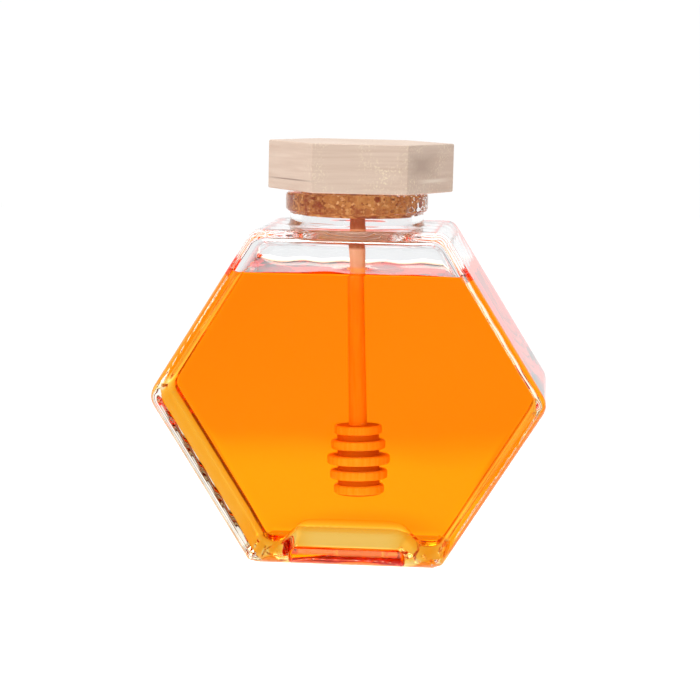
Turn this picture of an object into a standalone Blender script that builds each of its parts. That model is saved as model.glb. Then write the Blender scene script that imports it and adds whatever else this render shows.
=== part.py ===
"""A hexagonal honey bottle: a flat glass jar with a cork and wooden lid, honey and a dipper.

The bottle stands on one flat of its hexagon, with its wide faces towards -Y and +Y.
X is its width, Z its height, and the origin is the centre of the base. Units are metres.
"""

import math

import bmesh
import bpy
from mathutils import Matrix

MM = 0.001
GAP = 0.3 * MM  # kept between pieces that touch

# Glass body. Widths are measured between the corners before they are rounded.
BODY_WIDTH = 120.0 * MM
BODY_FLAT = 57.0 * MM  # length of the foot and of the shoulder
BODY_HEIGHT = 101.0 * MM
BODY_DEPTH = 53.0 * MM
SIDE_CORNER_RADIUS = 6.0 * MM
FLAT_CORNER_RADIUS = 4.0 * MM
BODY_EDGE_RADIUS = 2.2 * MM  # rounds the rim of both wide faces

# Inside of the glass body. The floor is thin round its edge and rises to a thick middle.
WALL = 2.6 * MM
FLOOR = 2.2 * MM
INNER_CORNER_RADIUS = 5.0 * MM
INNER_EDGE_RADIUS = 2.6 * MM
MOUND_LENGTH = 49.0 * MM
MOUND_WIDTH = 47.0 * MM
MOUND_HEIGHT = 8.8 * MM
MOUND_CORNER = 15.0 * MM
MOUND_SLANT = math.radians(45.0)

# Neck and its bead, turned about the Z axis.
NECK_RADIUS = 20.4 * MM
NECK_FLARE = 1.4 * MM
NECK_SOCKET = 3.0 * MM  # how far the neck is sunk into the shoulder
BEAD_RADIUS = 21.7 * MM
BEAD_BOTTOM = 105.3 * MM
BEAD_ROUNDING = 1.2 * MM
RIM_HEIGHT = 111.1 * MM
BORE_RADIUS = 17.0 * MM
LIP_ROUNDING = 0.8 * MM

# Hollow pushed up under the foot, which leaves a bearing ring.
PUNT_LENGTH = 41.0 * MM
PUNT_WIDTH = 39.0 * MM
PUNT_HEIGHT = 4.2 * MM
PUNT_CORNER = 3.0 * MM
PUNT_SLANT = math.radians(42.0)

HONEY_LEVEL = 87.2 * MM

# The cork and the hexagonal wooden lid are glued together, a little turned, tilted
# and off centre on the bottle.
LID_BOTTOM = 111.7 * MM
LID_CORNER_RADIUS = 28.2 * MM  # centre to corner of its hexagon
LID_HEIGHT = 14.6 * MM
LID_EDGE = 0.5 * MM
LID_OFFSET = 1.0 * MM
LID_TURN = math.radians(4.7)
LID_TILT = math.radians(0.66)
CORK_RADIUS = BORE_RADIUS - GAP
CORK_LENGTH = 7.3 * MM
CORK_EDGE = 0.5 * MM

# Dipper: a tapered rod glued into the cork, with a grooved head at its lower end.
ROD_TOP = 109.5 * MM
ROD_TOP_X = 0.1 * MM
ROD_TOP_RADIUS = 2.3 * MM
ROD_FOOT_RADIUS = 2.8 * MM
ROD_LEAN = math.radians(1.57)
HEAD_TOP = 40.6 * MM
DISC_RADII = [radius * MM for radius in (7.3, 8.3, 9.6, 8.8, 7.7)]
DISC_THICKNESS = 2.75 * MM
DISC_ROUNDING = 0.7 * MM
GROOVE_WIDTH = 1.85 * MM
GROOVE_RADIUS = 6.4 * MM
HEAD_DOME = 0.9 * MM

BORE_OVERLAP = 4.0 * MM  # how far the bore's cutter runs past the glass
MIN_CORNER = 0.4 * MM
CORNER_STEPS = 6
EDGE_STEPS = 5
NECK_SEGMENTS = 56
DIPPER_SEGMENTS = 28
SHARP_ANGLE = math.radians(35.0)


def material(name, colour, roughness, transmission=0.0):
    """One Principled material, from a linear colour and a roughness."""
    made = bpy.data.materials.new(name)
    made.use_nodes = True
    shader = made.node_tree.nodes["Principled BSDF"]
    shader.inputs["Base Color"].default_value = (*colour, 1.0)
    shader.inputs["Roughness"].default_value = roughness
    shader.inputs["Metallic"].default_value = 0.0
    shader.inputs["Transmission Weight"].default_value = transmission
    return made


def add_object(name, form, finish=None):
    """Turn a finished bmesh into a named object that is smooth between its sharp edges."""
    bmesh.ops.recalc_face_normals(form, faces=form.faces)
    mesh = bpy.data.meshes.new(name)
    form.to_mesh(mesh)
    form.free()
    mesh.shade_smooth()
    mesh.set_sharp_from_angle(angle=SHARP_ANGLE)
    made = bpy.data.objects.new(name, mesh)
    bpy.context.scene.collection.objects.link(made)
    if finish:
        mesh.materials.append(finish)
    return made


def as_helper(made):
    """Mark an object as one that only shapes others."""
    made.hide_render = True
    made.display_type = "WIRE"
    return made


def combine(made, other, operation):
    """Add an exact Boolean modifier."""
    step = made.modifiers.new(f"{operation.lower()} {other.name}", "BOOLEAN")
    step.operation = operation
    step.solver = "EXACT"
    step.object = other


def bridge_rings(form, rings):
    """Join rings of points into one closed skin, with a face over each end."""
    loops = [[form.verts.new(point) for point in ring] for ring in rings]
    for lower, upper in zip(loops, loops[1:]):
        count = len(lower)
        for index in range(count):
            after = (index + 1) % count
            form.faces.new((lower[index], lower[after], upper[after], upper[index]))
    form.faces.new(list(reversed(loops[0])))
    form.faces.new(loops[-1])


def hexagon_sides(wall, floor):
    """Normal angle and distance of the six sides from the body's middle, anticlockwise."""
    lean = math.atan2(BODY_WIDTH - BODY_FLAT, BODY_HEIGHT)
    slope = BODY_WIDTH / 2 * math.cos(lean) - wall
    top = BODY_HEIGHT / 2 - wall
    foot = BODY_HEIGHT / 2 - floor
    right = math.pi / 2
    half_turn = math.pi
    return [
        (-lean, slope),
        (lean, slope),
        (right, top),
        (half_turn - lean, slope),
        (half_turn + lean, slope),
        (3 * right, foot),
    ]


def rounded_hexagon(sides, side_radius, flat_radius, inset):
    """Points of the hexagon with round corners, all moved inward by the inset."""
    points = []
    for index, (angle, distance) in enumerate(sides):
        next_angle, next_distance = sides[(index + 1) % len(sides)]
        if next_angle < angle:
            next_angle += 2 * math.pi
        radius = side_radius if index in (0, 3) else flat_radius
        # The arc's centre lies one radius inside both of the sides that meet here.
        reach = distance - radius
        next_reach = next_distance - radius
        spread = math.sin(next_angle - angle)
        x = (reach * math.sin(next_angle) - next_reach * math.sin(angle)) / spread
        z = (next_reach * math.cos(angle) - reach * math.cos(next_angle)) / spread
        for step in range(CORNER_STEPS + 1):
            turn = angle + (next_angle - angle) * step / CORNER_STEPS
            points.append((x + (radius - inset) * math.cos(turn), z + (radius - inset) * math.sin(turn)))
    return points


def pillow(wall, floor, side_radius, flat_radius, depth, edge_radius):
    """A hexagonal slab with round corners, whose wide faces have rounded rims."""
    sides = hexagon_sides(wall, floor)
    rounding = []
    for step in range(EDGE_STEPS + 1):
        turn = math.pi / 2 * step / EDGE_STEPS
        rounding.append((depth / 2 - edge_radius * (1 - math.cos(turn)), edge_radius * (1 - math.sin(turn))))
    profile = [(-y, inset) for y, inset in rounding] + list(reversed(rounding))
    form = bmesh.new()
    rings = []
    for y, inset in profile:
        outline = rounded_hexagon(sides, side_radius, flat_radius, inset)
        rings.append([(x, y, z + BODY_HEIGHT / 2) for x, z in outline])
    bridge_rings(form, rings)
    return form


def arc(centre_r, centre_z, radius, first, last, steps):
    """Points of a round stretch of a turned profile, with its angles in degrees."""
    points = []
    for step in range(steps + 1):
        turn = math.radians(first + (last - first) * step / steps)
        points.append((centre_r + radius * math.cos(turn), centre_z + radius * math.sin(turn)))
    return points


def turned(profile, segments):
    """A solid turned about Z from a profile that runs from its bottom to its top."""
    form = bmesh.new()
    rings = []
    for r, z in profile:
        turns = [2 * math.pi * index / segments for index in range(segments)]
        rings.append([(r * math.cos(turn), r * math.sin(turn), z) for turn in turns])
    bridge_rings(form, rings)
    return form


def neck_profile():
    """Outside of the neck: a flare at the shoulder, the straight neck and the bead."""
    flare = arc(NECK_RADIUS + NECK_FLARE, BODY_HEIGHT + NECK_FLARE, NECK_FLARE, 270, 180, 3)
    undercut = BEAD_RADIUS - BEAD_ROUNDING
    lower = arc(undercut, BEAD_BOTTOM + BEAD_ROUNDING, BEAD_ROUNDING, -90, 0, 3)
    upper = arc(undercut, RIM_HEIGHT - BEAD_ROUNDING, BEAD_ROUNDING, 0, 90, 3)
    sunk = [(NECK_RADIUS + NECK_FLARE, BODY_HEIGHT - NECK_SOCKET)]
    return sunk + flare + [(NECK_RADIUS, BEAD_BOTTOM)] + lower + upper


def bore_profile():
    """Straight bore of the neck, from inside the body to the rounded lip."""
    lip = arc(BORE_RADIUS + LIP_ROUNDING, RIM_HEIGHT - LIP_ROUNDING, LIP_ROUNDING, 180, 90, 3)
    below = BODY_HEIGHT - 3 * BORE_OVERLAP
    above = RIM_HEIGHT + BORE_OVERLAP
    return [(BORE_RADIUS, below)] + lip + [(BORE_RADIUS + LIP_ROUNDING, above)]


def raised_block(length, width, height, corner, slant):
    """A low block with round corners and slanted sides; its sizes hold at z = 0."""
    form = bmesh.new()
    rings = []
    for z in (-height / 2, height):
        inset = z / math.tan(slant)
        radius = max(corner - inset, MIN_CORNER)
        far_x = length / 2 - inset - radius
        far_y = width / 2 - inset - radius
        ring = []
        for quarter, (side_x, side_y) in enumerate(((1, 1), (-1, 1), (-1, -1), (1, -1))):
            for step in range(CORNER_STEPS + 1):
                turn = math.pi / 2 * (quarter + step / CORNER_STEPS)
                x = side_x * far_x + radius * math.cos(turn)
                y = side_y * far_y + radius * math.sin(turn)
                ring.append((x, y, z))
        rings.append(ring)
    bridge_rings(form, rings)
    return form


def mound(room):
    """The raised middle of the glass floor, grown by the room."""
    growth = room / math.sin(MOUND_SLANT)
    return raised_block(
        MOUND_LENGTH + 2 * growth, MOUND_WIDTH + 2 * growth, MOUND_HEIGHT + room,
        MOUND_CORNER + growth, MOUND_SLANT,
    )


def punt():
    """The hollow under the foot."""
    return raised_block(PUNT_LENGTH, PUNT_WIDTH, PUNT_HEIGHT, PUNT_CORNER, PUNT_SLANT)


def make_jar():
    """The glass: the hexagonal body joined to its neck, then hollowed out."""
    glass = material("clear soda-lime glass", (0.93, 0.94, 0.93), 0.03, 1.0)
    slab = pillow(
        0.0, 0.0, SIDE_CORNER_RADIUS, FLAT_CORNER_RADIUS, BODY_DEPTH, BODY_EDGE_RADIUS
    )
    jar = add_object("jar", slab, glass)
    neck = as_helper(add_object("neck outside", turned(neck_profile(), NECK_SEGMENTS)))
    hollow_depth = BODY_DEPTH - 2 * WALL
    hollow = as_helper(add_object("hollow", pillow(
        WALL, FLOOR, INNER_CORNER_RADIUS, INNER_CORNER_RADIUS, hollow_depth, INNER_EDGE_RADIUS
    )))
    bore = as_helper(add_object("bore", turned(bore_profile(), NECK_SEGMENTS)))
    floor_middle = as_helper(add_object("floor middle", mound(0.0)))
    combine(hollow, floor_middle, "DIFFERENCE")
    foot_hollow = as_helper(add_object("foot hollow", punt()))
    combine(jar, neck, "UNION")
    for cutter in (hollow, bore, foot_hollow):
        combine(jar, cutter, "DIFFERENCE")


def dipper_profile(room):
    """The dipper from the bottom of its head to the top of its rod, grown by the room.

    Heights are measured down from the top of the rod.
    """
    rounding = DISC_ROUNDING
    level = HEAD_TOP - ROD_TOP
    head = []
    for index, radius in enumerate(DISC_RADII):
        top = level - index * (DISC_THICKNESS + GROOVE_WIDTH)
        low = top - DISC_THICKNESS
        shoulder = radius - rounding
        inner = ROD_FOOT_RADIUS if index == 0 else GROOVE_RADIUS
        disc = [(inner + room, top + room)]
        disc += arc(shoulder + room, top - rounding + room, rounding, 90, 0, 2)
        disc += arc(shoulder + room, low + rounding - room, rounding, 0, -90, 2)
        if index < len(DISC_RADII) - 1:
            disc.append((GROOVE_RADIUS + room, low - room))
        head += disc
    head.append((0.4 * DISC_RADII[-1], low - HEAD_DOME - room))
    rod = [(ROD_TOP_RADIUS + room, room)]
    return list(reversed(rod + head))


def dipper_object(name, room, finish=None):
    """Place a turned dipper with its rod's top in the cork and its head off to the right."""
    made = add_object(name, turned(dipper_profile(room), DIPPER_SEGMENTS), finish)
    made.location = (ROD_TOP_X, 0.0, ROD_TOP)
    made.rotation_euler = (0.0, -ROD_LEAN, 0.0)
    return made


def make_honey(dipper_room):
    """The honey fills the hollow up to its level, all round the dipper."""
    honey_finish = material("amber honey", (0.95, 0.32, 0.02), 0.08, 0.6)
    rounding = INNER_CORNER_RADIUS - GAP
    fill_depth = BODY_DEPTH - 2 * (WALL + GAP)
    fill = pillow(
        WALL + GAP, FLOOR + GAP, rounding, rounding, fill_depth, INNER_EDGE_RADIUS - GAP
    )
    cut = bmesh.ops.bisect_plane(
        fill, geom=fill.verts[:] + fill.edges[:] + fill.faces[:],
        plane_co=(0, 0, HONEY_LEVEL), plane_no=(0, 0, 1), clear_outer=True,
    )
    rim = [item for item in cut["geom_cut"] if isinstance(item, bmesh.types.BMEdge)]
    bmesh.ops.edgeloop_fill(fill, edges=rim)
    honey = add_object("honey", fill, honey_finish)
    floor_room = as_helper(add_object("floor room", mound(GAP)))
    combine(honey, floor_room, "DIFFERENCE")
    combine(honey, dipper_room, "DIFFERENCE")


def make_closure(dipper_room):
    """The cork and the lid hang on one empty, which gives them their turn and tilt."""
    closure = bpy.data.objects.new("closure", None)
    bpy.context.scene.collection.objects.link(closure)
    closure.location = (0.0, 0.0, LID_BOTTOM)
    closure.rotation_euler = (0.0, LID_TILT, LID_TURN)

    cork_finish = material("pressed cork", (0.45, 0.21, 0.09), 0.85)
    stopper = [(CORK_RADIUS - CORK_EDGE, -CORK_LENGTH - GAP)]
    stopper.append((CORK_RADIUS, -CORK_LENGTH - GAP + CORK_EDGE))
    stopper.append((CORK_RADIUS, -GAP))
    cork = add_object("cork", turned(stopper, NECK_SEGMENTS), cork_finish)
    cork.parent = closure
    combine(cork, dipper_room, "DIFFERENCE")

    wood = material("pale beech", (0.78, 0.6, 0.45), 0.6)
    block = bmesh.new()
    bmesh.ops.create_cone(
        block, cap_ends=True, segments=6, radius1=LID_CORNER_RADIUS, radius2=LID_CORNER_RADIUS,
        depth=LID_HEIGHT, matrix=Matrix.Translation((LID_OFFSET, 0.0, LID_HEIGHT / 2)),
    )
    first = next(iter(block.verts)).co
    start = math.atan2(first.y, first.x - LID_OFFSET)
    corner_to_x = Matrix.Rotation(-start, 4, "Z")
    to_centre = Matrix.Translation((-LID_OFFSET, 0.0, 0.0))
    bmesh.ops.transform(
        block, matrix=to_centre.inverted() @ corner_to_x @ to_centre, verts=block.verts
    )
    bmesh.ops.bevel(
        block, geom=block.edges[:], offset=LID_EDGE, segments=2, profile=0.5, affect="EDGES",
    )
    lid = add_object("lid", block, wood)
    lid.parent = closure


def main():
    for old in list(bpy.data.objects):
        bpy.data.objects.remove(old, do_unlink=True)
    make_jar()
    dipper_room = as_helper(dipper_object("dipper room", GAP))
    make_honey(dipper_room)
    dipper_object("dipper", 0.0, material("beech in honey", (0.62, 0.33, 0.14), 0.55))
    make_closure(dipper_room)


main()
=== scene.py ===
# %% [markdown]
# # A hexagonal honey bottle
# A flat glass bottle stands on one side of its hexagon. It is full of amber honey, a
# pressed cork with a hexagonal wooden lid shuts it, and a turned wooden dipper hangs
# inside. The construction model gives each piece's place and size; this lesson gives it
# its final form and finish.

# %% Load the construction model as a fixed frame
import math

import bmesh
import bpy
import numpy as np
from mathutils import Matrix, Vector, noise


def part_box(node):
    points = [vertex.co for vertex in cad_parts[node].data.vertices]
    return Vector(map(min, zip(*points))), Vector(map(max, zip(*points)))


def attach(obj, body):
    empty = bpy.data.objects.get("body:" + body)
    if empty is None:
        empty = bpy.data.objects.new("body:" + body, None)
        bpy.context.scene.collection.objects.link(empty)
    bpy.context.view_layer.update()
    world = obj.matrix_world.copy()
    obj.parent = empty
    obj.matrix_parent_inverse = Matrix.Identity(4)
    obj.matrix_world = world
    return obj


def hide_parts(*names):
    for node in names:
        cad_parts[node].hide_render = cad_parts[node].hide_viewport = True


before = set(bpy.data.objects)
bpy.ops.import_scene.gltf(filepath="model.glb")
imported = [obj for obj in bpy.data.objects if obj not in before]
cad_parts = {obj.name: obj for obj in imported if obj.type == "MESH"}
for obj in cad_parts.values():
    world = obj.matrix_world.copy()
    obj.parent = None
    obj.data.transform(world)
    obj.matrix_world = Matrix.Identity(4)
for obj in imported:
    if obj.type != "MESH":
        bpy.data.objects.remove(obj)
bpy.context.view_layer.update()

MM = 0.001
ROOT = "root"
print("pieces in the frame:", sorted(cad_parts))

# %% [markdown]
# ## Sizes
# The frame tells the outer sizes. What it can't tell, such as the wall of the glass and
# how round each edge is, is named here.

# %% Sizes of the glass
jar_low, jar_high = (Vector(corner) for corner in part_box("jar"))

BODY_WIDTH = 120 * MM  # between the side corners before they are rounded
BODY_FLAT = 57 * MM  # length of the foot and of the shoulder
BODY_HEIGHT = 101 * MM
BODY_DEPTH = jar_high.y - jar_low.y
SIDE_CORNER = 6 * MM
FLAT_CORNER = 4 * MM
FACE_EDGE = 2.2 * MM  # rounding of the rim of both wide faces
HEEL_EDGE = 4.6 * MM  # the same rim along the foot, where it is roundest
SLACK_EDGE = 3.4 * MM  # and at the upper left and lower right, where it is rounder too

WALL = 2.6 * MM
FLOOR = 2.2 * MM
INNER_CORNER = 5 * MM
INNER_EDGE = 2.6 * MM
INNER_HEEL = 3.5 * MM
SHOULDER_BLEND = 5 * MM  # how softly the inside runs from the body into the neck
SLOW_WAVER = 0.25  # millimetres by which the wall swells and thins from one part to the next
RIPPLE = 0.03  # millimetres of a faint ripple on top of that

PUNT_LENGTH, PUNT_WIDTH, PUNT_DEPTH = 41 * MM, 39 * MM, 4.2 * MM  # the hollow under the foot
PUNT_CORNER = 3 * MM
PUNT_SLANT = math.radians(42)
PUNT_EDGE = 0.6 * MM  # rounding where it starts, and where it meets its flat ceiling
PUNT_TOP_EDGE = 2.4 * MM
# The floor over it: length, width, height, corner, slant and the rounding of its edge.
MOUND = (49 * MM, 47 * MM, 8.8 * MM, 15 * MM, math.radians(45), 1.0 * MM)
MOAT_ROUNDING = 1.2 * MM  # rounds the groove round the punt on the inside

NECK = 20.4 * MM
NECK_FLARE = 1.4 * MM
BEAD = 21.7 * MM
BEAD_BOTTOM = 105.3 * MM
BEAD_ROUNDING = 1.2 * MM
RIM = jar_high.z
BORE = 17 * MM
LIP = 0.8 * MM

HONEY_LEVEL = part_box("honey")[1][2]
print(f"glass {BODY_DEPTH / MM:.1f} mm deep, rim at {RIM / MM:.1f} mm, honey up to {HONEY_LEVEL / MM:.1f} mm")

# %% [markdown]
# ## Small helpers
# Colours are written as sRGB hex, the way a paint chart gives them, and one function
# turns them to the linear values that shaders use. Another adds a shader node with its
# settings and links in one line.

# %% Colours and shader nodes
def linear(hex_colour):
    """Linear RGBA from an sRGB hex colour."""
    values = [int(hex_colour[i:i + 2], 16) / 255 for i in (1, 3, 5)]
    straight = [v / 12.92 if v <= 0.04045 else ((v + 0.055) / 1.055) ** 2.4 for v in values]
    return (*straight, 1.0)


def add(tree, kind, inputs=None, stops=(), **settings):
    """Add a node; an input is given a plain value, or an output socket to be linked.

    Stops are the places and hex colours along a colour ramp.
    """
    node = tree.nodes.new(kind)
    for index, (share, colour) in enumerate(stops):
        while len(node.color_ramp.elements) < len(stops):
            node.color_ramp.elements.new(1.0)
        node.color_ramp.elements[index].position = share
        node.color_ramp.elements[index].color = linear(colour)
    for name, value in settings.items():
        setattr(node, name, value)
    for name, value in (inputs or {}).items():
        if isinstance(value, bpy.types.NodeSocket):
            tree.links.new(value, node.inputs[name])
        else:
            node.inputs[name].default_value = value
    return node


def new_material(name):
    """An empty material, its node tree and its output node."""
    material = bpy.data.materials.new(name)
    material.use_nodes = True
    tree = material.node_tree
    tree.nodes.clear()
    return material, tree, add(tree, "ShaderNodeOutputMaterial")


def let_lamps_through(tree, shader, output):
    """Clear pieces don't block lamp light: a shadow ray passes, every other ray is bent."""
    path = add(tree, "ShaderNodeLightPath")
    clear = add(tree, "ShaderNodeBsdfTransparent")
    both = add(tree, "ShaderNodeMixShader", {0: path.outputs["Is Shadow Ray"]})
    tree.links.new(shader.outputs["BSDF"], both.inputs[1])
    tree.links.new(clear.outputs["BSDF"], both.inputs[2])
    tree.links.new(both.outputs["Shader"], output.inputs["Surface"])


# %% [markdown]
# ## Camera, floor and light
# Clear things have no colour of their own: they show what stands round them, so the
# surroundings are made first. A long lens looks from a little above the lid and from a
# little to the right, and keeps the hexagon's sides nearly parallel.

# %% Camera
CAMERA_PLACE = Vector((58.3, -589.8, 145.6)) * MM
CAMERA_AZIMUTH = math.radians(5.8)
CAMERA_ELEVATION = math.radians(8.0)
CAMERA_ROLL = math.radians(0.67)
CAMERA_LENS = 99.8
CAMERA_SENSOR = 36.0
NEAREST_SEEN = 10 * MM

camera_data = bpy.data.cameras.new("camera")
camera_data.lens = CAMERA_LENS
camera_data.sensor_width = CAMERA_SENSOR
camera_data.clip_start = NEAREST_SEEN
camera = bpy.data.objects.new("camera", camera_data)
back = Vector((
    math.sin(CAMERA_AZIMUTH) * math.cos(CAMERA_ELEVATION),
    -math.cos(CAMERA_AZIMUTH) * math.cos(CAMERA_ELEVATION),
    math.sin(CAMERA_ELEVATION),
))
right = Vector((math.cos(CAMERA_AZIMUTH), math.sin(CAMERA_AZIMUTH), 0.0))
up = back.cross(right)
tilted_right = right * math.cos(CAMERA_ROLL) + up * math.sin(CAMERA_ROLL)
tilted_up = up * math.cos(CAMERA_ROLL) - right * math.sin(CAMERA_ROLL)
turn = Matrix((tilted_right, tilted_up, back)).transposed()
camera.matrix_world = Matrix.Translation(CAMERA_PLACE) @ turn.to_4x4()
bpy.context.scene.collection.objects.link(camera)
bpy.context.scene.camera = camera
print(f"camera {CAMERA_PLACE.length:.2f} m from the foot of the bottle, lens {CAMERA_LENS} mm")

# %% [markdown]
# The table stands for a sheet of white acrylic lit from below: it glows by itself, which
# gives the eye an even white with hardly a shadow. A white floor under a lamp would do
# too, but then the glass would fill with the floor's grey. The glow is painted light: it
# is strongest in a painted pool round the bottle, and a painted shadow of the bottle makes
# it a little weaker right behind its foot.

# %% Floor
FLOOR_SIZE = 3.0
FLOOR_DROP = 0.2 * MM  # keeps the table clear of the foot
NEAR_GLOW = 1.36  # the table's painted glow near the bottle, and further away
FAR_GLOW = 0.79
POOL_RADIUS = 0.19
POOL_FADE = 0.09
POOL_WANDER = 0.10  # how unevenly the bright pool ends
WANDER_SCALE = 9.0
SHADED_GLOW = 0.72  # share of it that is left right behind the foot, a painted shadow of the bottle
SHADE_BEHIND = 0.032
SHADE_HALF_WIDTH, SHADE_HALF_DEPTH = 0.036, 0.05
SHADE_CORE = 0.35  # share of the patch that is fully shaded

floor_mesh = bpy.data.meshes.new("table")
corners = [(-1, -1), (1, -1), (1, 1), (-1, 1)]
reach = FLOOR_SIZE / 2
floor_mesh.from_pydata([(x * reach, y * reach, -FLOOR_DROP) for x, y in corners], [], [(0, 1, 2, 3)])
table = bpy.data.objects.new("table", floor_mesh)
bpy.context.scene.collection.objects.link(table)
white, tree, out = new_material("white glowing table with painted pool of light and shadow")
place = add(tree, "ShaderNodeTexCoord")
distance = add(tree, "ShaderNodeVectorMath", {0: place.outputs["Object"]}, operation="LENGTH")
wander = add(tree, "ShaderNodeTexNoise", {
    "Vector": place.outputs["Object"], "Scale": WANDER_SCALE, "Detail": 3.0,
})
shift = add(tree, "ShaderNodeMath", {0: wander.outputs["Fac"], 1: POOL_WANDER}, operation="MULTIPLY")
pool = add(tree, "ShaderNodeMath", {0: distance.outputs["Value"], 1: shift.outputs[0]}, operation="ADD")
glow = add(tree, "ShaderNodeMapRange", {
    "Value": pool.outputs[0], "From Min": POOL_RADIUS, "From Max": POOL_RADIUS + POOL_FADE,
    "To Min": NEAR_GLOW, "To Max": FAR_GLOW,
}, interpolation_type="SMOOTHSTEP")
# painted shadow of the bottle on the table, right behind its foot
squash = add(tree, "ShaderNodeMapping", {
    "Vector": place.outputs["Object"], "Location": (0.0, SHADE_BEHIND, 0.0),
    "Scale": (SHADE_HALF_WIDTH, SHADE_HALF_DEPTH, 1.0),
}, vector_type="TEXTURE")
below = add(tree, "ShaderNodeVectorMath", {0: squash.outputs[0]}, operation="LENGTH")
shade = add(tree, "ShaderNodeMapRange", {
    "Value": below.outputs["Value"], "From Min": SHADE_CORE, "From Max": 1.0,
    "To Min": SHADED_GLOW, "To Max": 1.0,
}, interpolation_type="SMOOTHSTEP")
light = add(tree, "ShaderNodeMath", {
    0: glow.outputs["Result"], 1: shade.outputs["Result"],
}, operation="MULTIPLY")
finish = add(tree, "ShaderNodeBsdfPrincipled", {
    "Base Color": linear("#8C8C8C"), "Roughness": 0.9,
    "Emission Color": (1, 1, 1, 1), "Emission Strength": light.outputs[0],
})
tree.links.new(finish.outputs["BSDF"], out.inputs["Surface"])
floor_mesh.materials.append(white)
print(f"table {FLOOR_SIZE} m square, glowing {NEAR_GLOW} near the bottle and {FAR_GLOW} far off")

# %% [markdown]
# Near the horizon the studio is an even white. Higher up it is bright at the back and on
# the left and dark at the front right, and glass and honey draw their dark lines from
# that. A picture of a real studio could light the scene too, but a few numbers are enough
# and stay easy to change. Two softboxes light the wood and the cork.

# %% World and lamps
HORIZON_GLOW = 1.01
BRIGHT_SIDE, DARK_SIDE = 0.9, 0.1
TO_DARK_SIDE = (0.5, -0.87, 0.0)
SIDE_STARTS, SIDE_ENDS = 0.25, 0.55  # along that direction
LOW_END, HIGH_START = 0.13, 0.22  # heights between which the even white fades out
LAMP_AIM = (0.0, 0.0, 0.06)
LIGHT_BOUNCES = 32
MIRROR_BOUNCES = 16

world = bpy.data.worlds.new("studio")
bpy.context.scene.world = world
world.use_nodes = True
tree = world.node_tree
tree.nodes.clear()
way = add(tree, "ShaderNodeTexCoord")
height = add(tree, "ShaderNodeSeparateXYZ", {"Vector": way.outputs["Generated"]})
side = add(tree, "ShaderNodeVectorMath", {
    0: way.outputs["Generated"], 1: TO_DARK_SIDE,
}, operation="DOT_PRODUCT")
upper = add(tree, "ShaderNodeMapRange", {
    "Value": side.outputs["Value"], "From Min": SIDE_STARTS, "From Max": SIDE_ENDS,
    "To Min": BRIGHT_SIDE, "To Max": DARK_SIDE,
}, interpolation_type="SMOOTHSTEP")
rise = add(tree, "ShaderNodeMapRange", {
    "Value": height.outputs["Z"], "From Min": LOW_END, "From Max": HIGH_START,
}, interpolation_type="SMOOTHSTEP")
fade = add(tree, "ShaderNodeMix", {
    "Factor": rise.outputs["Result"], "A": HORIZON_GLOW, "B": upper.outputs["Result"],
})
sky = add(tree, "ShaderNodeBackground", {"Color": (1, 1, 1, 1), "Strength": fade.outputs[0]})
add(tree, "ShaderNodeOutputWorld", {"Surface": sky.outputs["Background"]})


def softbox(name, place, aim, width, length, watts):
    """A rectangular area lamp that faces its aim."""
    data = bpy.data.lights.new(name, "AREA")
    data.shape = "RECTANGLE"
    data.size = width
    data.size_y = length
    data.energy = watts
    lamp = bpy.data.objects.new(name, data)
    lamp.location = place
    lamp.rotation_euler = (Vector(aim) - Vector(place)).to_track_quat("-Z", "Y").to_euler()
    bpy.context.scene.collection.objects.link(lamp)


softbox("overhead softbox", (-0.10, -0.05, 0.85), LAMP_AIM, 0.5, 0.5, 4.5)
softbox("left front softbox", (-0.2, -0.95, 0.42), LAMP_AIM, 0.35, 0.5, 2.8)

bpy.context.scene.view_settings.view_transform = "Standard"
cycles = bpy.context.scene.cycles
cycles.max_bounces = LIGHT_BOUNCES
cycles.transmission_bounces = LIGHT_BOUNCES
cycles.glossy_bounces = MIRROR_BOUNCES
cycles.transparent_max_bounces = LIGHT_BOUNCES
print(f"two lamps, and light may be bent or passed on {LIGHT_BOUNCES} times")

# %% [markdown]
# ## The inside of the bottle as a distance
# The inside is a hexagonal hollow with rounded corners that runs softly into the bore
# of the neck. Booleans could cut it, but they leave hard edges where body, neck and
# floor meet. So it is written as a signed distance: how far a point is from the glass,
# negative inside. The same few lines then shape the inner wall, the honey against it
# and the curl of the honey where it climbs the glass.

# %% Signed distance of the hollow
def hexagon_corners(wall, floor, inset):
    """The six corners of the hexagon in X and Z, moved in by wall or floor and an inset."""
    lean = math.atan2(BODY_WIDTH - BODY_FLAT, BODY_HEIGHT)
    slope = BODY_WIDTH / 2 * math.cos(lean) - wall - inset
    top = BODY_HEIGHT / 2 - wall - inset
    foot = BODY_HEIGHT / 2 - floor - inset
    quarter = math.pi / 2
    sides = [
        (-lean, slope), (lean, slope), (quarter, top),
        (math.pi - lean, slope), (math.pi + lean, slope), (3 * quarter, foot),
    ]
    corners = []
    for (a, da), (b, db) in zip(sides, sides[1:] + sides[:1]):
        spread = math.sin(b - a)
        x = (da * math.sin(b) - db * math.sin(a)) / spread
        z = (db * math.cos(a) - da * math.cos(b)) / spread
        corners.append((x, z + BODY_HEIGHT / 2))
    return corners


def polygon_distance(x, z, corners):
    """Signed distance to a convex outline that runs anticlockwise."""
    nearest = np.full_like(x, np.inf)
    beyond = np.full_like(x, -np.inf)
    for (ax, az), (bx, bz) in zip(corners, corners[1:] + corners[:1]):
        ex, ez = bx - ax, bz - az
        length = math.hypot(ex, ez)
        along = np.clip(((x - ax) * ex + (z - az) * ez) / length**2, 0, 1)
        nearest = np.minimum(nearest, np.hypot(x - ax - ex * along, z - az - ez * along))
        beyond = np.maximum(beyond, ((x - ax) * ez - (z - az) * ex) / length)
    return np.where(beyond > 0, nearest, beyond)


HOLLOW_CORNERS = hexagon_corners(WALL, FLOOR, INNER_CORNER)
FOOT_TOP = 14 * MM  # the foot's own wall and rims end here
FOOT_FADE = 8 * MM
SWELL_WIDTH, SWELL_HEIGHT = 20, 8  # millimetres over which the wall turns from thick to thin


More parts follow.
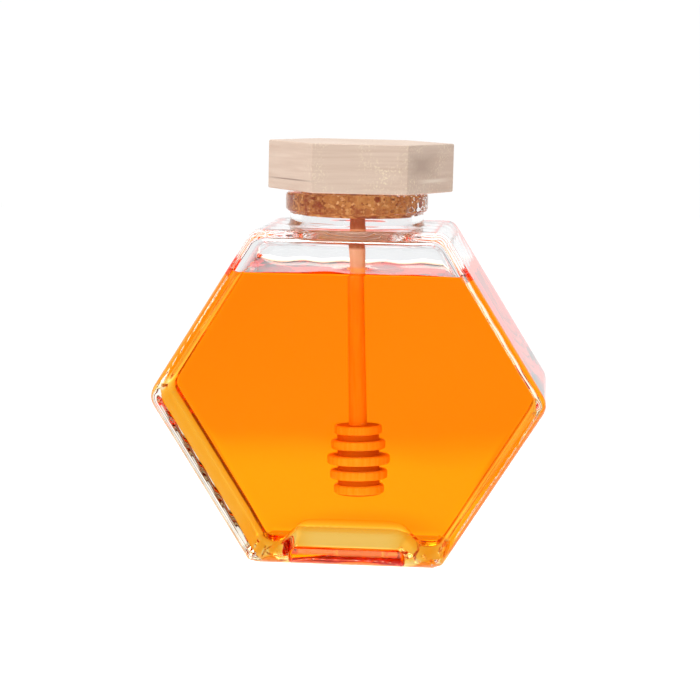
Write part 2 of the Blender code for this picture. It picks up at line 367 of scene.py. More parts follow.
def mound_distance(points, length, width, height, corner, slant, edge):
    """Signed distance to a low mound on z = 0 with slanted sides and a flat, soft-edged top."""
    x, y, z = np.abs(points[..., 0]), np.abs(points[..., 1]), points[..., 2]
    out_x = x - length / 2 + corner
    out_y = y - width / 2 + corner
    side = np.hypot(np.maximum(out_x, 0), np.maximum(out_y, 0))
    side = side + np.minimum(np.maximum(out_x, out_y), 0)
    side = (side - corner) * math.sin(slant) + z * math.cos(slant)
    top = z - height
    inner = np.hypot(np.maximum(side + edge, 0), np.maximum(top + edge, 0))
    return np.minimum(-edge, np.maximum(side, top)) + inner


def foot_share(z):
    """Rises softly to 1 near the foot, where the wall and its rims have other sizes."""
    share = np.clip((FOOT_TOP - z) / FOOT_FADE, 0, 1)
    return share * share * (3 - 2 * share)


def waver(points):
    """How much thicker the glass is than its wall: a slow change and a faint ripple."""
    x, y, z = points[..., 0] / MM, points[..., 1] / MM, points[..., 2] / MM
    foot = foot_share(points[..., 2])
    above_middle = z - BODY_HEIGHT / 2 / MM
    slow = np.tanh(x / SWELL_WIDTH) * np.tanh(above_middle / SWELL_HEIGHT) * (1 - foot) - foot
    ripple = np.sin(0.53 * x + 0.31 * y + 0.4) * np.sin(0.47 * z - 0.22 * y + 1.1)
    return (SLOW_WAVER * slow + RIPPLE * ripple) * MM


def hollow_distance(points):
    """Signed distance from points to the inner wall of the glass."""
    x, y, z = points[..., 0], points[..., 1], points[..., 2]
    edge = INNER_EDGE + (INNER_HEEL - INNER_EDGE) * foot_share(z)
    outline = polygon_distance(x, z, HOLLOW_CORNERS) - INNER_CORNER + edge
    faces = np.abs(y) - (BODY_DEPTH / 2 - WALL - edge)
    body = np.hypot(np.maximum(outline, 0), np.maximum(faces, 0))
    body = body + np.minimum(np.maximum(outline, faces), 0) - edge + waver(points)
    cover = -mound_distance(points, *MOUND)
    inner = np.hypot(np.maximum(body + MOAT_ROUNDING, 0), np.maximum(cover + MOAT_ROUNDING, 0))
    body = np.minimum(-MOAT_ROUNDING, np.maximum(body, cover)) + inner
    bore = np.maximum(np.hypot(x, y) - BORE, BODY_HEIGHT * 0.8 - z)
    near_body = np.maximum(SHOULDER_BLEND - body, 0)
    near_bore = np.maximum(SHOULDER_BLEND - bore, 0)
    return np.maximum(SHOULDER_BLEND, np.minimum(body, bore)) - np.hypot(near_body, near_bore)


def hollow_slope(points, step=0.02 * MM):
    """Unit directions straight out of the hollow, into the glass."""
    slopes = []
    for axis in range(3):
        offset = np.zeros(3)
        offset[axis] = step
        slopes.append(hollow_distance(points + offset) - hollow_distance(points - offset))
    slopes = np.stack(slopes, axis=-1)
    return slopes / np.linalg.norm(slopes, axis=-1, keepdims=True)


HEART = np.array((0.0, 0.0, 48 * MM))  # every part of the inner wall can be seen from here
FIRST_REACH = 5 * MM
WALK_STEPS = 120
WALK_SHARE = 0.9  # of the distance left, taken by each step so that none runs past the wall


def cast_to_wall(directions, room=0.0):
    """Walk from the heart along each direction until the wall, plus some room, is met."""
    reach = np.full(directions.shape[:-1], FIRST_REACH)
    for _ in range(WALK_STEPS):
        reach = reach - WALK_SHARE * (hollow_distance(HEART + directions * reach[..., None]) - room)
    return HEART + directions * reach[..., None]


print(f"wall {-hollow_distance(np.array([HEART]))[0] / MM:.1f} mm from the heart of the bottle")

# %% [markdown]
# ## Rings of the inner wall
# The wall is drawn by rings round the Z axis, like a globe's parallels seen from the
# heart of the bottle. Marching through a block of cells would find the same wall, but
# with steps that glass would show. Two rings are special: the first closes onto the
# straight bore, and one follows the line where honey and glass meet.

# %% Cast the rings
TURNS = 320
DRY_RINGS = 44
WET_RINGS = 150
BORE_JOIN = 104.6 * MM
CLIMB = 1.3 * MM  # how far the honey climbs the glass
CURL = 2.4 * MM  # how fast that climb dies away from the wall
HALVINGS = 28  # of the range in which the upper edge is looked for
INTO_WALL = 0.12 * MM  # the honey reaches this far into the glass and the wood

even = 2 * np.pi * np.arange(TURNS) / TURNS
turns = even + 0.13 * np.sin(4 * even) - 0.14 * np.sin(2 * even)  # closer at the upright corners
first_angle = math.atan2(BORE, BORE_JOIN - HEART[2])


def directions_at(angles):
    """Unit directions for one polar angle per turn, or one for all."""
    angles = np.broadcast_to(angles, turns.shape)
    across = np.sin(angles)
    return np.stack((across * np.cos(turns), across * np.sin(turns), np.cos(angles)), axis=-1)


def contact_height():
    """The honey's upper edge on the glass wavers a little round the bottle."""
    swings = 0.25 * np.sin(3 * turns + 0.7) + 0.18 * np.sin(7 * turns + 2.1) + 0.1 * np.sin(13 * turns)
    return HONEY_LEVEL + CLIMB + swings * MM


def contact_angles(room):
    """Polar angle, for each turn, at which the wall is at the honey's upper edge."""
    low = np.full(TURNS, first_angle)
    high = np.full(TURNS, math.pi / 2)
    wanted = contact_height()
    for _ in range(HALVINGS):
        half = (low + high) / 2
        above = cast_to_wall(directions_at(half), room)[:, 2] > wanted
        low = np.where(above, half, low)
        high = np.where(above, high, half)
    return (low + high) / 2


def wall_rings(starts, ends, count, crowd, room=0.0):
    """Rings from one polar angle to another; crowd above 1 puts more near the start."""
    shares = np.linspace(0, 1, count + 1) ** crowd
    return [cast_to_wall(directions_at(starts + (ends - starts) * share), room) for share in shares]


meeting = contact_angles(0.0)
dry_rings = wall_rings(np.full(TURNS, first_angle), meeting, DRY_RINGS, 1.6)
wet_rings = wall_rings(meeting, np.full(TURNS, math.pi), WET_RINGS, 1.0)[1:-1]
wall_pole = cast_to_wall(np.array((0.0, 0.0, -1.0)))
print(f"inner wall: {len(dry_rings) + len(wet_rings)} rings, floor at {wall_pole[2] / MM:.2f} mm")


# %% [markdown]
# ## Meshes from rings
# Most of this bottle is drawn as rings of points with faces between them. The exact
# direction of the surface is known at each point, so it is kept with the point and
# given to the finished mesh: glass shows the smallest kink in its shading.

# %% Mesh helpers
def new_form():
    """An empty form whose points can carry the exact direction of their surface."""
    form = bmesh.new()
    form.verts.layers.float_vector.new("facing")
    return form


def add_ring(form, points, facing=None):
    """Points of one ring, with their surface directions where these are known."""
    layer = form.verts.layers.float_vector["facing"]
    ring = [form.verts.new(tuple(point)) for point in points]
    if facing is not None:
        for vertex, direction in zip(ring, facing):
            vertex[layer] = tuple(direction)
    return ring


def join_rings(form, first, second, slot=0):
    """Faces between two rings of equal count."""
    count = len(first)
    for i in range(count):
        j = (i + 1) % count
        face = form.faces.new((first[i], first[j], second[j], second[i]))
        face.material_index = slot


def join_all(form, rings, slot=0):
    """Faces between each ring and the next."""
    for first, second in zip(rings, rings[1:]):
        join_rings(form, first, second, slot)


def close_with_point(form, ring, point, facing, slot=0):
    """A fan of triangles from a ring to one point."""
    tip = add_ring(form, [point], [facing])[0]
    for i in range(len(ring)):
        face = form.faces.new((ring[i], ring[(i + 1) % len(ring)], tip))
        face.material_index = slot


def finished_piece(name, form, materials):
    """Turn a form to a piece with outward faces and its exact surface directions."""
    bmesh.ops.recalc_face_normals(form, faces=form.faces)
    mesh = bpy.data.meshes.new(name)
    form.to_mesh(mesh)
    form.free()
    mesh.shade_smooth()
    known = np.zeros(len(mesh.vertices) * 3)
    mesh.attributes["facing"].data.foreach_get("vector", known)
    known = known.reshape(-1, 3)
    usual = np.zeros(len(mesh.vertices) * 3)
    mesh.vertex_normals.foreach_get("vector", usual)
    given = np.linalg.norm(known, axis=1) > 0.5
    facing = np.where(given[:, None], known, usual.reshape(-1, 3))
    mesh.attributes.remove(mesh.attributes["facing"])
    mesh.normals_split_custom_set_from_vertices([tuple(direction) for direction in facing])
    piece = bpy.data.objects.new(name, mesh)
    bpy.context.scene.collection.objects.link(piece)
    for material in materials:
        mesh.materials.append(material)
    return piece


# %% [markdown]
# ## The glass
# The outside is a hexagonal slab with rounded corners and rims, a neck with a bead and
# a shallow hollow under the foot. A bevelled block would be quicker, but its rims would
# all be equally round, and a rim's roundness is what draws the lines in clear glass. So
# the outline is swept from front to back as rings; the flat shoulder between two of them
# is left open and closed round the neck.

# %% Outer slab
CORNER_STEPS = 14
RIM_STEPS = 10
SMALLEST_CORNER = 0.3 * MM


def soft_step(value):
    """A smooth step from 0 to 1."""
    value = min(max(value, 0.0), 1.0)
    return value * value * (3 - 2 * value)


def rim_rounding(angle):
    """The rim of a wide face is rounded most along the foot and more on one diagonal."""
    foot = soft_step((-math.sin(angle) - 0.6) / 0.4)
    diagonal = soft_step(-math.sin(2 * angle) / 0.8)
    return FACE_EDGE + (HEEL_EDGE - FACE_EDGE) * foot + (SLACK_EDGE - FACE_EDGE) * diagonal


def slab_ring(form, swing, end):
    """One ring of the slab: swing is 0 on a wide face and a right angle on the sides."""
    lean = math.atan2(BODY_WIDTH - BODY_FLAT, BODY_HEIGHT)
    half_turn = math.pi
    angles = [-lean, lean, half_turn / 2, half_turn - lean, half_turn + lean, 3 * half_turn / 2]
    angles.append(2 * half_turn - lean)
    radii = [SIDE_CORNER, FLAT_CORNER, FLAT_CORNER, SIDE_CORNER, FLAT_CORNER, FLAT_CORNER]
    lift, side = math.sin(swing), math.cos(swing)
    points, facing = [], []
    for i, radius in enumerate(radii):
        for angle in np.linspace(angles[i], angles[i + 1], CORNER_STEPS + 1):
            rim = rim_rounding(angle)
            inset = rim * (1 - lift)
            size = max(radius - inset, SMALLEST_CORNER)
            cx, cz = hexagon_corners(0.0, 0.0, size + inset)[i]
            c, s = math.cos(angle), math.sin(angle)
            points.append((cx + size * c, end * (BODY_DEPTH / 2 - rim * (1 - side)), cz + size * s))
            facing.append((lift * c, end * side, lift * s))
    return add_ring(form, points, facing)


glass_form = new_form()
swings = np.linspace(0, math.pi / 2, RIM_STEPS + 1)
loops = [slab_ring(glass_form, swing, -1) for swing in swings]
loops += [slab_ring(glass_form, swing, 1) for swing in swings[::-1]]
count = len(loops[0])
shoulder_side = 2 * (CORNER_STEPS + 1) - 1  # the last point before the shoulder's flat
foot_side = 5 * (CORNER_STEPS + 1) - 1
open_corners = {}
for k, (front, rear) in enumerate(zip(loops, loops[1:])):
    for i in range(count):
        j = (i + 1) % count
        if k == RIM_STEPS and i in (shoulder_side, foot_side):
            open_corners[i] = (front[i], front[j], rear[j], rear[i])
        else:
            glass_form.faces.new((front[i], front[j], rear[j], rear[i]))
glass_form.faces.new(loops[0][::-1])
glass_form.faces.new(loops[-1])
print(f"slab of {len(loops)} rings with {count} points each")

# %% [markdown]
# The neck is round, so its profile is drawn once and turned about the Z axis: a flare at
# the shoulder, the straight neck, a bead that gives the finger a hold, and the lip. The
# hollow rounding under the bead touches neck and bead without a crease.

# %% Neck, bead, lip and bore
def arc(r, z, size, first, last, steps, hollow=False):
    """An arc of a turned profile: radius, height and the way it faces."""
    sign = -1 if hollow else 1
    points = []
    for angle in np.radians(np.linspace(first, last, steps + 1)):
        c, s = math.cos(angle), math.sin(angle)
        points.append((r + size * c, z + size * s, sign * c, sign * s))
    return points


def turned_rings(form, profile, angles):
    """Rings of a turned form, one for each point of its profile."""
    rings = []
    for r, z, face_r, face_z in profile:
        points = [(r * math.cos(t), r * math.sin(t), z) for t in angles]
        facing = [(face_r * math.cos(t), face_r * math.sin(t), face_z) for t in angles]
        rings.append(add_ring(form, points, facing))
    join_all(form, rings)
    return rings


UNDERCUT = 0.6 * MM  # radius of the hollow rounding between the neck and the bead
bead_middle = BEAD - BEAD_ROUNDING
undercut_drop = math.sqrt((BEAD_ROUNDING + UNDERCUT) ** 2 - (NECK + UNDERCUT - bead_middle) ** 2)
undercut_end = math.degrees(math.atan2(undercut_drop, bead_middle - NECK - UNDERCUT))
undercut_height = BEAD_BOTTOM + BEAD_ROUNDING - undercut_drop
neck_profile = arc(NECK + NECK_FLARE, BODY_HEIGHT + NECK_FLARE, NECK_FLARE, 270, 180, 8, hollow=True)
neck_profile += arc(NECK + UNDERCUT, undercut_height, UNDERCUT, 180, undercut_end, 5, hollow=True)
neck_profile += arc(bead_middle, BEAD_BOTTOM + BEAD_ROUNDING, BEAD_ROUNDING, undercut_end - 180, 0, 8)[1:]
neck_profile += arc(bead_middle, RIM - BEAD_ROUNDING, BEAD_ROUNDING, 0, 90, 8)
neck_profile += arc(BORE + LIP, RIM - LIP, LIP, 90, 180, 6)
neck_loops = turned_rings(glass_form, neck_profile, turns)
print(f"neck of {len(neck_loops)} rings, bead {2 * BEAD / MM:.1f} mm across")

# %% [markdown]
# The shoulder is flat with a round hole in it. Each point of the neck's first ring is
# joined to the corner that is nearest by its bearing, which needs no extra points.

# %% Close the shoulder round the neck
def frame_round_ring(form, corners, ring):
    """Close the flat between four corners and a ring of points with triangle fans."""
    bearings = [math.atan2(corner.co.y, corner.co.x) for corner in corners]
    nearest = []
    for vertex in ring:
        bearing = math.atan2(vertex.co.y, vertex.co.x)
        gaps = [abs(math.remainder(bearing - other, 2 * math.pi)) for other in bearings]
        nearest.append(gaps.index(min(gaps)))
    for i in range(len(ring)):
        j = (i + 1) % len(ring)
        form.faces.new((ring[i], ring[j], corners[nearest[i]]))
        if nearest[i] != nearest[j]:
            form.faces.new((ring[j], corners[nearest[j]], corners[nearest[i]]))


frame_round_ring(glass_form, open_corners[shoulder_side], neck_loops[0])
print("faces so far:", len(glass_form.faces))

# %% [markdown]
# The hollow under the foot leaves a ring for the bottle to stand on. It is a rounded
# rectangle that shrinks as it rises: a small rounding, a slanted side and a large
# rounding into its flat ceiling.

# %% Foot with its shallow hollow
PUNT_ARC = 12
PUNT_EDGE_STEPS = 6
PUNT_TOP_STEPS = 12
SMALLEST_PUNT_CORNER = 0.4 * MM


def punt_outline(inset):
    """A rounded rectangle, moved in by the inset, and the angle it faces."""
    radius = max(PUNT_CORNER - inset, SMALLEST_PUNT_CORNER)
    half_x, half_y = PUNT_LENGTH / 2 - inset - radius, PUNT_WIDTH / 2 - inset - radius
    points = []
    for quarter, (sx, sy) in enumerate(((1, 1), (-1, 1), (-1, -1), (1, -1))):
        for step in range(PUNT_ARC + 1):
            angle = math.pi / 2 * (quarter + step / PUNT_ARC)
            x = sx * half_x + radius * math.cos(angle)
            y = sy * half_y + radius * math.sin(angle)
            points.append((x, y, angle))
    return points


punt_profile = []
for a in np.linspace(0, PUNT_SLANT, PUNT_EDGE_STEPS + 1):
    punt_profile.append((PUNT_EDGE * math.sin(a), PUNT_EDGE * (1 - math.cos(a)), a))
bottom_in, bottom_up = punt_profile[-1][:2]
top_up = PUNT_DEPTH - PUNT_TOP_EDGE * (1 - math.cos(PUNT_SLANT))
top_in = bottom_in + (top_up - bottom_up) / math.tan(PUNT_SLANT)
for a in np.linspace(PUNT_SLANT, 0, PUNT_TOP_STEPS + 1):
    inset = top_in + PUNT_TOP_EDGE * (math.sin(PUNT_SLANT) - math.sin(a))
    punt_profile.append((inset, PUNT_DEPTH - PUNT_TOP_EDGE * (1 - math.cos(a)), a))
recess_loops = []
shift = -bottom_in / 2
for inset, depth, slope in punt_profile:
    outline = punt_outline(inset + shift)
    lean_in = -math.sin(slope)
    facing = [(lean_in * math.cos(a), lean_in * math.sin(a), -math.cos(slope)) for x, y, a in outline]
    recess_loops.append(add_ring(glass_form, [(x, y, depth) for x, y, a in outline], facing))
join_all(glass_form, recess_loops)
glass_form.faces.new(recess_loops[-1])
frame_round_ring(glass_form, open_corners[foot_side], recess_loops[0])
print(f"hollow under the foot {PUNT_DEPTH / MM:.1f} mm deep")

# %% [markdown]
# The rings of the inner wall hang on the lip's last ring. Each face is told what lies
# behind it, air or honey, because light is bent by another amount in each place.

# %% Inner wall of the glass
WET, WET_FOOT, DRY = range(1, 4)  # places in the glass's list of materials
ON_MOUND = 0.15 * MM  # a face nearer to the mound than this belongs to it

inner_loops = [neck_loops[-1]]
for ring in dry_rings + wet_rings:
    inner_loops.append(add_ring(glass_form, ring, -hollow_slope(ring)))
for index, (upper, lower) in enumerate(zip(inner_loops, inner_loops[1:])):
    join_rings(glass_form, upper, lower, DRY if index < len(dry_rings) else WET)
close_with_point(glass_form, inner_loops[-1], wall_pole, (0, 0, 1), WET)
for face in glass_form.faces:
    if face.material_index == WET:
        centre = np.array(face.calc_center_median())
        face.material_index = WET_FOOT if mound_distance(centre, *MOUND) < ON_MOUND else WET
print("glass is closed:", all(len(edge.link_faces) == 2 for edge in glass_form.edges))


# %% [markdown]
# ## Finish of the glass
# Soda-lime bottle glass bends light by 1.52 and is perfectly smooth, which gives the eye
# sharp dark and bright lines along every rounding. Where honey wets the inside, light
# passes from glass to honey, which bends almost as strongly, so that face has only the
# ratio of the two and nearly disappears. Real glass also mirrors its surroundings; the
# dark tint below holds that back, so that the honey's colour stays clear. It is a choice
# of looks, and so is the slightly stronger ratio over the foot. The slightly grey inside
# above the honey is painted shade, standing in for the light that real reflections take.

# %% Glass materials
GLASS_IOR = 1.52
HONEY_IOR = 1.49
WET_IOR = 1.02  # glass against honey, along the walls
FOOT_IOR = 1.022  # the same over the foot's mound, which it outlines a little more
FULL_MIRROR = "#FFFFFF"
HELD_BACK = "#303030"


def clear_finish(name, colour, ratio, mirror):
    """A smooth clear face that bends light by a ratio."""
    material, tree, out = new_material(name)
    skin = add(tree, "ShaderNodeBsdfPrincipled", {
        "Base Color": linear(colour), "Roughness": 0.0, "IOR": ratio, "Transmission Weight": 1.0,
        "Specular Tint": linear(mirror),
    })
    let_lamps_through(tree, skin, out)
    return material


clear_glass = clear_finish("clear soda-lime glass", "#FBFCFC", GLASS_IOR, HELD_BACK)
# painted shade: the dry inside is a little grey, for the light that real reflections take
dry_glass = clear_finish("dry inside of the glass", "#F1F1F2", GLASS_IOR, HELD_BACK)
wet_glass = clear_finish("glass wetted by honey", "#FFFFFF", WET_IOR, FULL_MIRROR)
wet_foot = clear_finish("thick glass wetted by honey", "#FFFFFF", FOOT_IOR, FULL_MIRROR)

jar = finished_piece("bottle_glass", glass_form, [clear_glass, wet_glass, wet_foot, dry_glass])
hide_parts("jar")
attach(jar, ROOT)
print("glass faces:", len(jar.data.polygons))

# %% [markdown]
# ## The dipper
# A dipper is turned on a lathe: a thin tapered handle and a head of five discs with
# grooves between, which hold the honey. It could be drawn as a profile and spun by a
# Screw modifier. A tree of geometry nodes is used instead, because its sizes stay inputs
# that can be changed later: it turns a flat grid into the head, where each row of the
# grid is one ring and the row's number says on which disc it lies.

# %% Sizes of the dipper
ROD_TOP = Vector((0.1, 0.0, 109.5)) * MM
ROD_LEAN = math.radians(1.57)
ROD_LENGTH = 68.9 * MM
ROD_TOP_RADIUS = 2.3 * MM
ROD_FOOT_RADIUS = 2.8 * MM
DISC_RADII = [radius * MM for radius in (7.3, 8.3, 9.6, 8.8, 7.7)]
DISC_THICKNESS = 2.75 * MM
DISC_ROUNDING = 0.7 * MM
GROOVE_WIDTH = 1.85 * MM
GROOVE_RADIUS = 6.4 * MM
HEAD_DOME = 0.9 * MM
HEAD_SEGMENTS = 112
ROWS_PER_DISC = 14
DOME_ROWS = 6
ROD_STATIONS = 48
ROD_SEGMENTS = 48
ROD_SUNK = 1.5 * MM  # how far the rod runs into the head
MERGE_WITHIN = 0.001 * MM
print(f"dipper {(ROD_LENGTH + 5 * DISC_THICKNESS + 4 * GROOVE_WIDTH + HEAD_DOME) / MM:.1f} mm long")

# %% Tree that turns the dipper
turning = bpy.data.node_groups.new("turned dipper", "GeometryNodeTree")
turning.interface.new_socket("Geometry", in_out="OUTPUT", socket_type="NodeSocketGeometry")
SIZES = {
    "Rod length": ROD_LENGTH, "Rod top radius": ROD_TOP_RADIUS, "Rod foot radius": ROD_FOOT_RADIUS,
    "Disc thickness": DISC_THICKNESS, "Groove width": GROOVE_WIDTH, "Groove radius": GROOVE_RADIUS,
    "Disc rounding": DISC_ROUNDING, "Dome height": HEAD_DOME,
}
for index, radius in enumerate(DISC_RADII):
    SIZES[f"Disc {index + 1} radius"] = radius
for name in SIZES:
    turning.interface.new_socket(name, in_out="INPUT", socket_type="NodeSocketFloat")
turning.interface.new_socket("Wood", in_out="INPUT", socket_type="NodeSocketMaterial")
given = add(turning, "NodeGroupInput").outputs
disc_count = len(DISC_RADII)
rows = disc_count * ROWS_PER_DISC + DOME_ROWS + 2

grid = add(turning, "GeometryNodeMeshGrid", {
    "Size X": 1.0, "Size Y": rows - 1.0, "Vertices X": HEAD_SEGMENTS + 1, "Vertices Y": rows,
})
spot = add(turning, "GeometryNodeInputPosition")
cell = add(turning, "ShaderNodeSeparateXYZ", {0: spot.outputs[0]})
spin = add(turning, "ShaderNodeMath", {0: cell.outputs["X"], 1: 2 * math.pi}, operation="MULTIPLY")
row = add(turning, "ShaderNodeMath", {0: cell.outputs["Y"], 1: (rows - 1) / 2}, operation="ADD")
whole = add(turning, "ShaderNodeMath", {0: row.outputs[0]}, operation="ROUND")
on_disc = add(turning, "ShaderNodeMath", {0: whole.outputs[0], 1: 1.0}, operation="SUBTRACT")
held = add(turning, "ShaderNodeClamp", {
    "Value": on_disc.outputs[0], "Min": 0.0, "Max": disc_count * ROWS_PER_DISC - 1.0,
})
share = add(turning, "ShaderNodeMath", {0: held.outputs[0], 1: ROWS_PER_DISC}, operation="DIVIDE")
disc = add(turning, "ShaderNodeMath", {0: share.outputs[0]}, operation="FLOOR")
step = add(turning, "ShaderNodeMath", {0: held.outputs[0], 1: ROWS_PER_DISC}, operation="MODULO")
print(f"{rows} rows for the head, {ROWS_PER_DISC} for each disc")

# %% [markdown]
# Within one disc the rows swing through a half circle, which rounds its rim, and the
# first and last row drop to the groove's radius. The lower half is moved down by the
# disc's flat part.

# %% Radius and height of each row
chosen = add(turning, "GeometryNodeIndexSwitch", {"Index": disc.outputs[0]}, data_type="FLOAT")
while len(chosen.index_switch_items) < disc_count:
    chosen.index_switch_items.new()
for index in range(disc_count):
    turning.links.new(given[f"Disc {index + 1} radius"], chosen.inputs[index + 1])
swing = add(turning, "ShaderNodeMapRange", {
    "Value": step.outputs[0], "From Min": 1.0, "From Max": ROWS_PER_DISC - 2.0,
    "To Min": math.pi / 2, "To Max": -math.pi / 2,
})
swing_out = add(turning, "ShaderNodeMath", {0: swing.outputs[0]}, operation="COSINE")
swing_up = add(turning, "ShaderNodeMath", {0: swing.outputs[0]}, operation="SINE")
core = add(turning, "ShaderNodeMath", {
    0: chosen.outputs[0], 1: given["Disc rounding"],
}, operation="SUBTRACT")
rim = add(turning, "ShaderNodeMath", {
    0: swing_out.outputs[0], 1: given["Disc rounding"], 2: core.outputs[0],
}, operation="MULTIPLY_ADD")
from_middle = add(turning, "ShaderNodeMath", {
    0: step.outputs[0], 1: (ROWS_PER_DISC - 1) / 2,
}, operation="SUBTRACT")
far = add(turning, "ShaderNodeMath", {0: from_middle.outputs[0]}, operation="ABSOLUTE")
in_groove = add(turning, "ShaderNodeMath", {
    0: far.outputs[0], 1: ROWS_PER_DISC / 2 - 1,
}, operation="GREATER_THAN")
radius = add(turning, "ShaderNodeMix", {
    "Factor": in_groove.outputs[0], "A": rim.outputs[0], "B": given["Groove radius"],
})
lower_half = add(turning, "ShaderNodeMath", {
    0: from_middle.outputs[0], 1: 0.0,
}, operation="GREATER_THAN")
flat = add(turning, "ShaderNodeMath", {
    0: given["Disc rounding"], 1: -2.0, 2: given["Disc thickness"],
}, operation="MULTIPLY_ADD")
drop = add(turning, "ShaderNodeMath", {
    0: lower_half.outputs[0], 1: flat.outputs[0], 2: given["Disc rounding"],
}, operation="MULTIPLY_ADD")
pitch = add(turning, "ShaderNodeMath", {
    0: given["Disc thickness"], 1: given["Groove width"],
}, operation="ADD")
disc_drop = add(turning, "ShaderNodeMath", {
    0: disc.outputs[0], 1: pitch.outputs[0], 2: drop.outputs[0],
}, operation="MULTIPLY_ADD")
lift = add(turning, "ShaderNodeMath", {
    0: swing_up.outputs[0], 1: given["Disc rounding"],
}, operation="MULTIPLY")
level = add(turning, "ShaderNodeMath", {
    0: lift.outputs[0], 1: disc_drop.outputs[0],
}, operation="SUBTRACT")
print("inputs of the tree:", ", ".join(SIZES))

# %% [markdown]
# The last rows close the head with a low dome. The grid's width then becomes one turn
# about the axis. Which points lie in a groove is kept as an attribute, before the points
# move, so that the finish can paint shade into the grooves.

# %% Domed end, closed top, and the spin about the axis
dome = add(turning, "ShaderNodeMapRange", {
    "Value": whole.outputs[0], "From Min": rows - 1.0 - DOME_ROWS, "From Max": rows - 1.0,
    "To Min": 0.0, "To Max": math.pi / 2,
})
dome_out = add(turning, "ShaderNodeMath", {0: dome.outputs[0]}, operation="COSINE")
dome_down = add(turning, "ShaderNodeMath", {0: dome.outputs[0]}, operation="SINE")
open_top = add(turning, "ShaderNodeMath", {0: whole.outputs[0], 1: 1.0}, operation="MINIMUM")
closing = add(turning, "ShaderNodeMath", {
    0: dome_out.outputs[0], 1: open_top.outputs[0],
}, operation="MULTIPLY")
dome_starts = add(turning, "ShaderNodeMath", {0: dome.outputs[0], 1: 0.0}, operation="GREATER_THAN")
end_core = add(turning, "ShaderNodeMix", {
    "Factor": dome_starts.outputs[0], "A": radius.outputs[0], "B": core.outputs[0],
})
out_radius = add(turning, "ShaderNodeMath", {
    0: end_core.outputs[0], 1: closing.outputs[0],
}, operation="MULTIPLY")
dome_level = add(turning, "ShaderNodeMath", {
    0: dome_down.outputs[0], 1: given["Dome height"],
}, operation="MULTIPLY")
head_level = add(turning, "ShaderNodeMath", {
    0: level.outputs[0], 1: dome_level.outputs[0],
}, operation="SUBTRACT")
full_level = add(turning, "ShaderNodeMath", {
    0: head_level.outputs[0], 1: given["Rod length"],
}, operation="SUBTRACT")
cosine = add(turning, "ShaderNodeMath", {0: spin.outputs[0]}, operation="COSINE")
sine = add(turning, "ShaderNodeMath", {0: spin.outputs[0]}, operation="SINE")
across = add(turning, "ShaderNodeMath", {
    0: cosine.outputs[0], 1: out_radius.outputs[0],
}, operation="MULTIPLY")
along = add(turning, "ShaderNodeMath", {
    0: sine.outputs[0], 1: out_radius.outputs[0],
}, operation="MULTIPLY")
spun = add(turning, "ShaderNodeCombineXYZ", {
    0: across.outputs[0], 1: along.outputs[0], 2: full_level.outputs[0],
})
marked = add(turning, "GeometryNodeStoreNamedAttribute", {
    "Geometry": grid.outputs["Mesh"], "Name": "groove", "Value": in_groove.outputs[0],
}, data_type="FLOAT", domain="POINT")
head = add(turning, "GeometryNodeSetPosition", {
    "Geometry": marked.outputs[0], "Position": spun.outputs[0],
})
print("nodes so far:", len(turning.nodes))

# %% [markdown]
# The rod is a circle carried along a line, thicker towards its foot, which is sunk a
# little into the head. Then the dipper is leaned and put in its place in the bottle.

# %% Tapered rod, joined to the head
foot = add(turning, "ShaderNodeMath", {0: given["Rod length"], 1: -1.0}, operation="MULTIPLY")
sunk = add(turning, "ShaderNodeMath", {0: foot.outputs[0], 1: ROD_SUNK}, operation="SUBTRACT")
foot_point = add(turning, "ShaderNodeCombineXYZ", {2: sunk.outputs[0]})
axis = add(turning, "GeometryNodeCurvePrimitiveLine", {"End": foot_point.outputs[0]})
stations = add(turning, "GeometryNodeResampleCurve", {"Curve": axis.outputs[0], "Count": ROD_STATIONS})
way_down = add(turning, "GeometryNodeSplineParameter")
taper = add(turning, "ShaderNodeMix", {
    "Factor": way_down.outputs["Factor"], "A": given["Rod top radius"], "B": given["Rod foot radius"],
})
circle = add(turning, "GeometryNodeCurvePrimitiveCircle", {"Resolution": ROD_SEGMENTS, "Radius": 1.0})
rod = add(turning, "GeometryNodeCurveToMesh", {
    "Curve": stations.outputs[0], "Profile Curve": circle.outputs[0], "Scale": taper.outputs[0],
    "Fill Caps": True,
})
whole_dipper = add(turning, "GeometryNodeJoinGeometry")
turning.links.new(rod.outputs[0], whole_dipper.inputs[0])
turning.links.new(head.outputs[0], whole_dipper.inputs[0])
merged = add(turning, "GeometryNodeMergeByDistance", {
    "Geometry": whole_dipper.outputs[0], "Distance": MERGE_WITHIN,
})
placed = add(turning, "GeometryNodeTransform", {
    "Geometry": merged.outputs[0], "Translation": tuple(ROD_TOP), "Rotation": (0.0, -ROD_LEAN, 0.0),
})
realized = add(turning, "GeometryNodeRealizeInstances", {"Geometry": placed.outputs[0]})
finished = add(turning, "GeometryNodeSetMaterial", {
    "Geometry": realized.outputs[0], "Material": given["Wood"],
})
add(turning, "NodeGroupOutput", {"Geometry": finished.outputs[0]})
print("nodes in the whole tree:", len(turning.nodes))


# %% [markdown]
# A tree only describes a shape. It is run once on an empty mesh, and what comes out is
# kept as a plain mesh.

# %% Evaluate a tree to a plain mesh
def grow(name, tree, values):
    """Run a tree with its inputs on an empty mesh and keep the result as a plain piece."""
    seed = bpy.data.objects.new(name, bpy.data.meshes.new(name))
    bpy.context.scene.collection.objects.link(seed)
    modifier = seed.modifiers.new(name, "NODES")
    modifier.node_group = tree
    for item in tree.interface.items_tree:
        if item.in_out == "INPUT" and item.name in values:
            modifier[item.identifier] = values[item.name]
    evaluated = seed.evaluated_get(bpy.context.evaluated_depsgraph_get())
    mesh = bpy.data.meshes.new_from_object(evaluated)
    seed.modifiers.remove(modifier)
    seed.data = mesh
    mesh.name = name
    return seed
